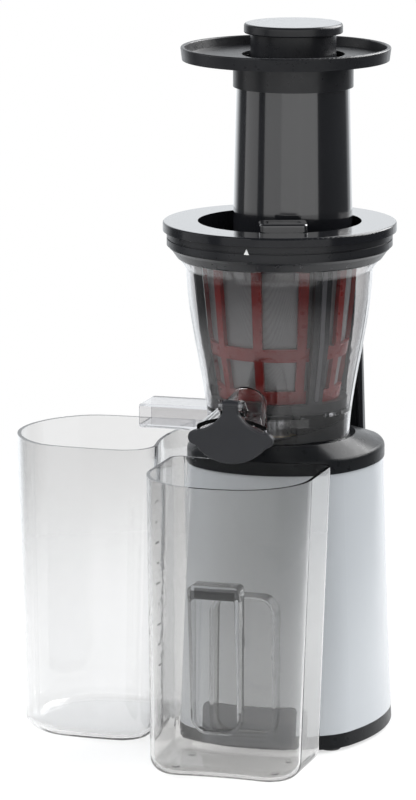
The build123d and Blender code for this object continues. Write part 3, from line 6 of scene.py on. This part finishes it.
import bmesh
import bpy
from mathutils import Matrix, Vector


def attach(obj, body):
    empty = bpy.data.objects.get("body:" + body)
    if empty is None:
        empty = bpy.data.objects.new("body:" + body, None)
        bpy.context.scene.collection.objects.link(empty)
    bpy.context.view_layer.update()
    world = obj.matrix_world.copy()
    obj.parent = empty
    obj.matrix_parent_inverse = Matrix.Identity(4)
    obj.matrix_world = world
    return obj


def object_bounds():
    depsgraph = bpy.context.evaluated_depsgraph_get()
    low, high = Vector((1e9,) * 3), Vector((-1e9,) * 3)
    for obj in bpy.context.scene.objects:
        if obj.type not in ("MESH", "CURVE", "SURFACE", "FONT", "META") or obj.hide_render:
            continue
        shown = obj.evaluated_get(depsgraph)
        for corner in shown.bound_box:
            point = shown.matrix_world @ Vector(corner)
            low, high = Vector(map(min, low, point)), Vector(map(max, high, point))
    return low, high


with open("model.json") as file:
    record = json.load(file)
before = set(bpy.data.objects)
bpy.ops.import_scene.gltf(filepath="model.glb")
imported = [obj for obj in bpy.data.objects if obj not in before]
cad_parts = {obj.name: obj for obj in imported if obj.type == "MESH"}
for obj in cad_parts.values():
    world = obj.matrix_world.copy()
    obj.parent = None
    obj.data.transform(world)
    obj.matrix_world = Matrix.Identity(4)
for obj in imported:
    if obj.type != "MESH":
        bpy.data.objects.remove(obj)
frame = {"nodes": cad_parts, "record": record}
cad_low, cad_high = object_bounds()
nodes = frame["nodes"]
mm = 0.001

# ---------------------------------------------------------------- camera, fitted to the photograph
camera_azimuth = 16.0          # degrees from -Y towards +X
camera_distance = 3000 * mm    # along the floor, from the frame's origin
camera_height = 783.3 * mm
camera_pitch = 0.189656        # radians down
camera_yaw = 0.0145758         # radians to the left
camera_reach = 20.0
sensor = 36.0
focal_length = 223.86

# ---------------------------------------------------------------- studio (a level of 1 is white)
ambient_level = 0.3
ambient_tint = (0.94, 0.97, 1.0)
dim_surroundings = 0.1
backdrop_level = 1.1
backdrop_edge = 0.62           # cosines of the angle from the backdrop's middle
backdrop_full = 0.9

floor_radius = 0.95
floor_fade_from = 0.25
floor_centre = (-0.02, -0.03, -0.0003)
floor_colour = (0.86, 0.87, 0.88)
floor_glow = 0.62

# upright panels at one distance: name, azimuth to the camera's right, radiance
panel_distance = 1.3
panel_width = 0.85
panel_tall = 1.3
panel_height = 0.726
panels = (
    ("front_left", -40, 1.0),
    ("front", -4, 1.25),
    ("front_right", 32, 1.25),
    ("left_lamp", -91, 0.8),
)
# high lamps: name, azimuth, distance, height, width, tall, radiance, shown in reflections
high_lamp_aim = 0.18
high_lamps = (
    ("left_high", -88, 1.2, 1.25, 1.2, 1.0, 5.0, False),
    ("right_lamp", 124, 1.25, 1.1, 1.3, 1.1, 9.0, True),
)

# ---------------------------------------------------------------- materials
# noise fields, in features per metre
mottle_scale = 55
gloss_scale = 210
flow_scale = 18
clear_gloss_scale = 240
turning_scale = 900
hole_scale = 1900
mesh_gloss_scale = 160
noise_middle = (0.3, 0.7)      # where nearly all of a noise field's values lie

# depths of relief, in metres
grain_depth = 0.00008
flow_depth = 0.0006
cut_depth = 0.00005

coat_roughness = 0.06
plain_spec = 0.5
clear_index = 1.49
lacquer_step = 0.0002          # height over which the satin side turns into the lacquered top
ring_top = 0.31895             # height from which the lid's ring is lacquered
cap_skin = 0.00005             # how far below its highest point the cap is lacquered
level_from, level_full = 0.8, 0.95         # upright part of the normal of a face that lies level
bottom_full, bottom_end = 0.007, 0.011     # heights between which the painted shade on the bottom ends
foot_end, ledge_start = 0.012, 0.03        # and between which the bottom's painted shade turns into the ledges' painted shade

# thick ledge over the jug's front grip, which gets a painted shade so that it shows dark
grip_ledge = ((-0.0125, -0.17, 0.1125), (0.0145, -0.128, 0.119))
grip_ledge_shade = (0.12, 0.12, 0.12)
box_softness = 0.0006

# ---------------------------------------------------------------- marks
arrow_azimuth = -0.7
arrow_z = 0.3098
arrow_outline = ((-0.0016, -0.0015), (0.0016, -0.0015), (0.0, 0.0021))
tick_count = 9
tick_low = 0.062
tick_step = 0.0125
tick_y = -0.104
tick_half_high = 0.0005
long_tick_half, short_tick_half = 0.0035, 0.002
ray_start = 0.12               # distance from the axis, outside the bowl's band
ray_left = -0.2                # outside the jug's left wall
print_lift = 0.00002
print_depth = 0.00005


def make_camera():
    """Camera at the photograph's viewing angle."""
    turn = math.radians(camera_azimuth)
    data = bpy.data.cameras.new("view")
    data.sensor_width = sensor
    data.lens = focal_length
    data.clip_end = camera_reach
    camera = bpy.data.objects.new("view", data)
    bpy.context.collection.objects.link(camera)
    camera.location = (camera_distance * math.sin(turn), -camera_distance * math.cos(turn),
                       camera_height)
    camera.rotation_euler = (math.pi / 2 - camera_pitch, 0, turn + camera_yaw)
    bpy.context.scene.camera = camera


# ---------------------------------------------------------------- node helpers
def connect(tree, value, place):
    """Links a socket to an input, or writes a plain value there."""
    if isinstance(value, bpy.types.NodeSocket):
        tree.links.new(value, place)
    else:
        place.default_value = value


def arithmetic(tree, operation, first, second=0.0):
    """Arithmetic on two sockets or numbers."""
    node = tree.nodes.new("ShaderNodeMath")
    node.operation = operation
    connect(tree, first, node.inputs[0])
    connect(tree, second, node.inputs[1])
    return node.outputs[0]


def linear(tree, value, start, end, low=0.0, high=1.0):
    """Straight ramp of a value: low up to start, high from end."""
    node = tree.nodes.new("ShaderNodeMapRange")
    for name, number in (("From Min", start), ("From Max", end), ("To Min", low), ("To Max", high)):
        node.inputs[name].default_value = number
    tree.links.new(value, node.inputs["Value"])
    return node.outputs[0]


def eased(tree, value, start, end, low=0.0, high=1.0):
    """The same ramp with soft ends."""
    out = linear(tree, value, start, end, low, high)
    out.node.interpolation_type = "SMOOTHSTEP"
    return out


def spread(tree, field, low, high):
    """Maps a noise field onto a range."""
    return linear(tree, field, *noise_middle, low, high)


def mix_colours(tree, factor, first, second, blend="MIX"):
    """Blend of two colours, each a socket or three numbers."""
    node = tree.nodes.new("ShaderNodeMix")
    node.data_type = "RGBA"
    node.blend_type = blend
    connect(tree, factor, node.inputs["Factor"])
    for name, colour in (("A", first), ("B", second)):
        connect(tree, (*colour, 1) if isinstance(colour, tuple) else colour, node.inputs[name])
    return node.outputs["Result"]


def mix_shaders(tree, factor, first, second):
    """Blend of two shaders."""
    node = tree.nodes.new("ShaderNodeMixShader")
    for place, value in zip(node.inputs, (factor, first, second)):
        tree.links.new(value, place)
    return node.outputs[0]


def coloured(tree, kind, colour, strength=None):
    """Plain shader of one colour."""
    node = tree.nodes.new(kind)
    node.inputs["Color"].default_value = (*colour, 1)
    if strength is not None:
        connect(tree, strength, node.inputs["Strength"])
    return node.outputs[0]


def own_space(tree):
    """Place in the object's own space, in metres."""
    return tree.nodes.new("ShaderNodeTexCoord").outputs["Object"]


def split(tree, vector):
    """The three parts of a vector."""
    parts = tree.nodes.new("ShaderNodeSeparateXYZ")
    tree.links.new(vector, parts.inputs[0])
    return parts.outputs


def noise(tree, scale, detail=2.0, stretch=(1, 1, 1)):
    """Noise in the object's own space, in features per metre."""
    mapping = tree.nodes.new("ShaderNodeMapping")
    mapping.inputs["Scale"].default_value = stretch
    field = tree.nodes.new("ShaderNodeTexNoise")
    field.inputs["Scale"].default_value = scale
    field.inputs["Detail"].default_value = detail
    tree.links.new(own_space(tree), mapping.inputs["Vector"])
    tree.links.new(mapping.outputs[0], field.inputs["Vector"])
    return field.outputs["Fac"]


def level_faces(tree):
    """1 on faces that lie level, 0 on upright ones."""
    form = tree.nodes.new("ShaderNodeNewGeometry")
    size = arithmetic(tree, "ABSOLUTE", split(tree, form.outputs["True Normal"])["Z"])
    return eased(tree, size, level_from, level_full)


def inside_box(tree, low, high):
    """1 inside a box of the object's own space, 0 outside it."""
    place = split(tree, own_space(tree))
    value = None
    for axis in range(3):
        for edge in (low[axis] - box_softness, low[axis]), (high[axis] + box_softness, high[axis]):
            side = linear(tree, place[axis], *edge)
            value = side if value is None else arithmetic(tree, "MULTIPLY", value, side)
    return value


def bump(tree, shader, height, strength, depth):
    """Relief of a height field, with its depth in metres."""
    node = tree.nodes.new("ShaderNodeBump")
    node.inputs["Strength"].default_value = strength
    node.inputs["Distance"].default_value = depth
    tree.links.new(height, node.inputs["Height"])
    tree.links.new(node.outputs[0], shader.inputs["Normal"])


# ---------------------------------------------------------------- studio
def direction(azimuth):
    """Unit vector on the floor at an azimuth from the camera's own, positive to its right."""
    turn = math.radians(camera_azimuth + azimuth)
    return Vector((math.sin(turn), -math.cos(turn), 0))


def softbox(name, azimuth, distance, height, width, tall, radiance, mirrored=True, aim=0.0):
    """Rectangular lamp that faces a height on the axis; radiance is its brightness."""
    data = bpy.data.lights.new(name, "AREA")
    data.shape = "RECTANGLE"
    data.size = width
    data.size_y = tall
    data.energy = radiance * math.pi * width * tall
    lamp = bpy.data.objects.new(name, data)
    bpy.context.collection.objects.link(lamp)
    lamp.location = direction(azimuth) * distance + Vector((0, 0, height))
    facing = Vector((0, 0, aim)) - lamp.location
    lamp.rotation_euler = facing.to_track_quat("-Z", "Y").to_euler()
    lamp.visible_camera = False
    lamp.visible_glossy = mirrored


def make_studio():
    """Row of soft panels round the front and the left, and a high lamp at either side."""
    for name, azimuth, radiance in panels:
        softbox(name, azimuth, panel_distance, panel_height, panel_width, panel_tall, radiance,
                aim=panel_height)
    for lamp in high_lamps:
        softbox(*lamp, aim=high_lamp_aim)


def seen_plainly(tree):
    """1 for camera rays and for rays through clear plastic with no bounce, and the light path."""
    path = tree.nodes.new("ShaderNodeLightPath").outputs
    bounces = arithmetic(tree, "ADD", path["Diffuse Depth"], path["Glossy Depth"])
    straight = arithmetic(tree, "LESS_THAN", bounces, 0.5)
    through = arithmetic(tree, "MULTIPLY", path["Is Transmission Ray"], straight)
    return arithmetic(tree, "MAXIMUM", path["Is Camera Ray"], through), path


def make_world():
    """Surroundings: white to the camera and through clear plastic, otherwise dim, pale behind."""
    world = bpy.data.worlds.new("surroundings")
    bpy.context.scene.world = world
    world.use_nodes = True
    tree = world.node_tree
    tree.nodes.clear()
    seen, path = seen_plainly(tree)
    # the pale backdrop stands behind the object and fades out to its sides
    facing = tree.nodes.new("ShaderNodeVectorMath")
    facing.operation = "DOT_PRODUCT"
    facing.inputs[1].default_value = direction(180)
    tree.links.new(tree.nodes.new("ShaderNodeTexCoord").outputs["Generated"], facing.inputs[0])
    behind = eased(tree, facing.outputs["Value"], backdrop_edge, backdrop_full,
                   dim_surroundings, backdrop_level)
    level = tree.nodes.new("ShaderNodeMix")
    level.data_type = "FLOAT"
    level.inputs["A"].default_value = ambient_level
    tree.links.new(path["Is Glossy Ray"], level.inputs["Factor"])
    tree.links.new(behind, level.inputs["B"])
    ambient = coloured(tree, "ShaderNodeBackground", ambient_tint, level.outputs["Result"])
    white = coloured(tree, "ShaderNodeBackground", (1, 1, 1), 1.0)
    out = tree.nodes.new("ShaderNodeOutputWorld")
    tree.links.new(mix_shaders(tree, seen, ambient, white), out.inputs["Surface"])


def make_floor():
    """White table top that fades into the white surroundings."""
    mesh = bpy.data.meshes.new("floor")
    form = bmesh.new()
    bmesh.ops.create_circle(form, cap_ends=True, radius=floor_radius, segments=96)
    form.to_mesh(mesh)
    form.free()
    floor = bpy.data.objects.new("floor", mesh)
    bpy.context.collection.objects.link(floor)
    floor.location = floor_centre
    material = bpy.data.materials.new("floor")
    material.use_nodes = True
    tree = material.node_tree
    tree.nodes.clear()
    # it glows a little where it is seen or mirrored, and only scatters light elsewhere
    seen, path = seen_plainly(tree)
    mirrored = arithmetic(tree, "MAXIMUM", seen, path["Is Glossy Ray"])
    share = arithmetic(tree, "MULTIPLY", mirrored, floor_glow)
    diffuse = coloured(tree, "ShaderNodeBsdfDiffuse", floor_colour)
    glow = coloured(tree, "ShaderNodeEmission", (1, 1, 1))
    body = mix_shaders(tree, share, diffuse, glow)
    length = tree.nodes.new("ShaderNodeVectorMath")
    length.operation = "LENGTH"
    tree.links.new(own_space(tree), length.inputs[0])
    fade = eased(tree, length.outputs["Value"], floor_fade_from, floor_radius)
    clear = tree.nodes.new("ShaderNodeBsdfTransparent").outputs[0]
    out = tree.nodes.new("ShaderNodeOutputMaterial")
    tree.links.new(mix_shaders(tree, fade, body, clear), out.inputs["Surface"])
    mesh.materials.append(material)


# ---------------------------------------------------------------- materials
def start_material(name):
    """New node material with its Principled shader on its output."""
    material = bpy.data.materials.new(name)
    material.use_nodes = True
    tree = material.node_tree
    tree.nodes.clear()
    shader = tree.nodes.new("ShaderNodeBsdfPrincipled")
    out = tree.nodes.new("ShaderNodeOutputMaterial")
    tree.links.new(shader.outputs[0], out.inputs["Surface"])
    return material, tree, shader


def darkened(colour, share):
    """A share of a colour."""
    return tuple(c * share for c in colour)


def moulded(name, colour, rough, grain, relief, shade, uneven):
    """Moulded plastic: faint mottling, uneven gloss and a fine moulded grain."""
    material, tree, shader = start_material(name)
    mottle = noise(tree, mottle_scale, 3.0)
    tree.links.new(mix_colours(tree, mottle, darkened(colour, shade), colour),
                   shader.inputs["Base Color"])
    gloss = noise(tree, gloss_scale, 4.0)
    tree.links.new(spread(tree, gloss, rough * (1 - uneven), rough * (1 + uneven)),
                   shader.inputs["Roughness"])
    bump(tree, shader, noise(tree, grain), relief, grain_depth)
    shader.inputs["Coat Roughness"].default_value = coat_roughness
    return material, tree, shader


def plastic(name, colour, rough, grain, relief, coat=0.0, shade=0.9, spec=plain_spec):
    """Plain moulding, with a clear coat where it has one."""
    material, tree, shader = moulded(name, colour, rough, grain, relief, shade, uneven=0.14)
    shader.inputs["Coat Weight"].default_value = coat
    shader.inputs["Specular IOR Level"].default_value = spec
    return material


def polished_top(name, colour, rough, grain, relief, coat_from, side_spec=0.3):
    """Black moulding, satin below a height and lacquered from there up."""
    material, tree, shader = moulded(name, colour, rough, grain, relief, shade=0.85, uneven=0.12)
    upper = eased(tree, split(tree, own_space(tree))["Z"], coat_from - lacquer_step, coat_from)
    tree.links.new(eased(tree, upper, 0.0, 1.0, side_spec, plain_spec),
                   shader.inputs["Specular IOR Level"])
    tree.links.new(upper, shader.inputs["Coat Weight"])
    return material


def clear_plastic(name, colour, ledge_shade=1.0, foot_shade=1.0, spec=plain_spec, shadow=1.0, painted_shade_box=None):
    """Clear moulding with faint flow marks, darkened with painted shade on its ledges and its
    bottom.
    """
    material, tree, shader = start_material(name)
    rough = 0.02
    flow = noise(tree, flow_scale, 2.0, (1, 1, 0.35))
    plain = mix_colours(tree, flow, darkened(colour, 0.985), colour)
    height = split(tree, own_space(tree))["Z"]
    # painted shade: level faces and the bottom are darkened by the ledge and foot shares
    painted_shade_level = eased(tree, height, foot_end, ledge_start, foot_shade, ledge_shade)
    bottom = eased(tree, height, bottom_full, bottom_end, 1.0, 0.0)
    painted_shade_place = arithmetic(tree, "MAXIMUM", level_faces(tree), bottom)
    tint_and_painted_shade = mix_colours(tree, painted_shade_place, plain, painted_shade_level, "MULTIPLY")
    # painted shade: the box over the grip's ledge is darkened
    if painted_shade_box:
        box = mix_colours(tree, inside_box(tree, *painted_shade_box), (1, 1, 1), grip_ledge_shade)
        tint_and_painted_shade = mix_colours(tree, 1.0, tint_and_painted_shade, box, "MULTIPLY")
    tree.links.new(tint_and_painted_shade, shader.inputs["Base Color"])
    gloss = noise(tree, clear_gloss_scale, 4.0)
    tree.links.new(spread(tree, gloss, rough * 0.6, rough * 1.5), shader.inputs["Roughness"])
    bump(tree, shader, flow, 0.05, flow_depth)
    shader.inputs["Transmission Weight"].default_value = 1.0
    shader.inputs["IOR"].default_value = clear_index
    shader.inputs["Specular IOR Level"].default_value = spec
    # lamps shine through the walls, so that what stands behind them is lit
    path = tree.nodes.new("ShaderNodeLightPath").outputs
    open_way = coloured(tree, "ShaderNodeBsdfTransparent", darkened(colour, shadow))
    out = next(node for node in tree.nodes if node.type == "OUTPUT_MATERIAL")
    tree.links.new(mix_shaders(tree, path["Is Shadow Ray"], shader.outputs[0], open_way),
                   out.inputs["Surface"])
    return material


def metal(name, colour, rough, stretch):
    """Machined metal with fine turning marks."""
    material, tree, shader = start_material(name)
    lines = noise(tree, turning_scale, 3.0, stretch)
    tree.links.new(mix_colours(tree, lines, darkened(colour, 0.85), colour),
                   shader.inputs["Base Color"])
    tree.links.new(spread(tree, lines, rough * 0.8, rough * 1.25), shader.inputs["Roughness"])
    bump(tree, shader, lines, 0.08, cut_depth)
    shader.inputs["Metallic"].default_value = 1.0
    return material


def mesh_sheet(name):
    """Etched steel mesh: rows of fine round holes in a grey sheet."""
    material, tree, shader = start_material(name)
    cells = tree.nodes.new("ShaderNodeTexVoronoi")
    cells.inputs["Scale"].default_value = hole_scale
    cells.inputs["Randomness"].default_value = 0.15
    tree.links.new(own_space(tree), cells.inputs["Vector"])
    sheet = linear(tree, cells.outputs["Distance"], 0.22, 0.34)
    tree.links.new(mix_colours(tree, sheet, (0.12, 0.12, 0.121), (0.25, 0.25, 0.252)),
                   shader.inputs["Base Color"])
    tree.links.new(spread(tree, noise(tree, mesh_gloss_scale, 3.0), 0.32, 0.46),
                   shader.inputs["Roughness"])
    bump(tree, shader, sheet, 0.1, cut_depth)
    shader.inputs["Metallic"].default_value = 0.55
    return material


def make_materials():
    """One material for each slot of the record: colour, roughness, grain and relief come first."""
    return {
        "white_shell": plastic("white_shell", (0.43, 0.45, 0.472), 0.24, 2400, 0.012, 0.3, 0.99),
        "black_gloss": polished_top("black_gloss", (0.010, 0.0105, 0.0125), 0.16, 1800, 0.008,
                                    ring_top),
        "black_lid": polished_top("black_lid", (0.012, 0.0125, 0.0145), 0.3, 2600, 0.01,
                                  cad_high[2] - cap_skin, 0.4),
        "black_satin": plastic("black_satin", (0.009, 0.0097, 0.011), 0.3, 3000, 0.05, spec=0.12),
        "grey_matte": plastic("grey_matte", (0.018, 0.019, 0.023), 0.46, 3400, 0.12),
        "panel_grey": plastic("panel_grey", (0.045, 0.05, 0.06), 0.2, 2000, 0.03, 0.3),
        "black_rubber": plastic("black_rubber", (0.02, 0.02, 0.02), 0.62, 2600, 0.25),
        "clear_bowl": clear_plastic("clear_bowl", (0.79, 0.785, 0.79), spec=0.25, shadow=0.6),
        "clear_jug": clear_plastic("clear_jug", (0.885, 0.881, 0.874), 0.35, 0.7,
                                   painted_shade_box=grip_ledge),
        "clear_bin": clear_plastic("clear_bin", (0.89, 0.89, 0.89), 0.7, 0.97),
        "red_frame": plastic("red_frame", (0.22, 0.011, 0.009), 0.3, 2200, 0.04),
        "steel_mesh": mesh_sheet("steel_mesh"),
        "auger_black": plastic("auger_black", (0.02, 0.02, 0.022), 0.3, 2600, 0.08),
        "steel": metal("steel", (0.6, 0.61, 0.63), 0.28, (1, 1, 9)),
        "motor_iron": metal("motor_iron", (0.25, 0.25, 0.26), 0.5, (1, 1, 14)),
        "brass": metal("brass", (0.65, 0.47, 0.2), 0.3, (1, 1, 9)),
        "gear_nylon": plastic("gear_nylon", (0.74, 0.71, 0.62), 0.4, 2400, 0.1),
        "wiper_dark": plastic("wiper_dark", (0.010, 0.010, 0.012), 0.34, 2600, 0.05),
        "silicone": plastic("silicone", (0.12, 0.12, 0.13), 0.5, 2600, 0.15),
    }


def dress_nodes(materials):
    """Gives each CAD node the material of its slot."""
    for part in frame["record"]["subparts"]:
        for place in nodes[part["node"]].material_slots:
            place.material = materials[part["material_slot"]]


# ---------------------------------------------------------------- marks
def printed(name, outlines, body, material):
    """Thin plates of print on a wall: each outline is a loop of points with its outward normal."""
    form = bmesh.new()
    for points, outward in outlines:
        inner = [form.verts.new(p) for p in points]
        outer = [form.verts.new(Vector(p) + Vector(outward) * print_depth) for p in points]
        form.faces.new(outer)
        form.faces.new(inner[::-1])
        for k in range(len(points)):
            after = (k + 1) % len(points)
            form.faces.new((inner[k], inner[after], outer[after], outer[k]))
    mesh = bpy.data.meshes.new(name)
    bmesh.ops.recalc_face_normals(form, faces=form.faces)
    form.to_mesh(mesh)
    form.free()
    piece = bpy.data.objects.new(name, mesh)
    bpy.context.collection.objects.link(piece)
    mesh.materials.append(material)
    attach(piece, body)


def onto(target, start, along):
    """Point and normal where a ray in world space meets a node."""
    inverse = target.matrix_world.inverted()
    way = (inverse.to_3x3() @ Vector(along)).normalized()
    found, place, normal, _ = target.ray_cast(inverse @ Vector(start), way)
    if not found:
        raise RuntimeError("no wall for a mark on " + target.name)
    return target.matrix_world @ place, (target.matrix_world.to_3x3() @ normal).normalized()


def flat_mark(target, start, along, outline):
    """Outline of (across, up) offsets laid on the wall that a ray meets."""
    place, normal = onto(target, start, along)
    across = Vector((0, 0, 1)).cross(normal).normalized()
    up = normal.cross(across)
    return [place + across * x + up * y + normal * print_lift for x, y in outline], normal


def make_marks():
    """Alignment arrow on the bowl's band and filling marks on the jug's left wall."""
    white = plastic("white_print", (0.75, 0.75, 0.74), 0.5, 2600, 0.1)
    turn = math.radians(arrow_azimuth)
    outward = Vector((math.sin(turn), -math.cos(turn), 0))
    start = outward * ray_start + Vector((0, 0, arrow_z))
    arrow = flat_mark(nodes["bowl_band"], start, -outward, arrow_outline)
    printed("band_arrow", [arrow], "bowl", white)
    grey = plastic("grey_print", (0.09, 0.09, 0.09), 0.5, 2600, 0.1)
    ticks = []
    for count in range(tick_count):
        half = short_tick_half if count % 2 else long_tick_half
        bar = ((-half, -tick_half_high), (half, -tick_half_high),
               (half, tick_half_high), (-half, tick_half_high))
        start = (ray_left, tick_y, tick_low + count * tick_step)
        ticks.append(flat_mark(nodes["juice_jug"], start, (1, 0, 0), bar))
    printed("jug_graduation", ticks, "jug", grey)


bpy.context.scene.view_settings.view_transform = "Standard"
make_camera()
make_world()
make_floor()
make_studio()
dress_nodes(make_materials())
make_marks()
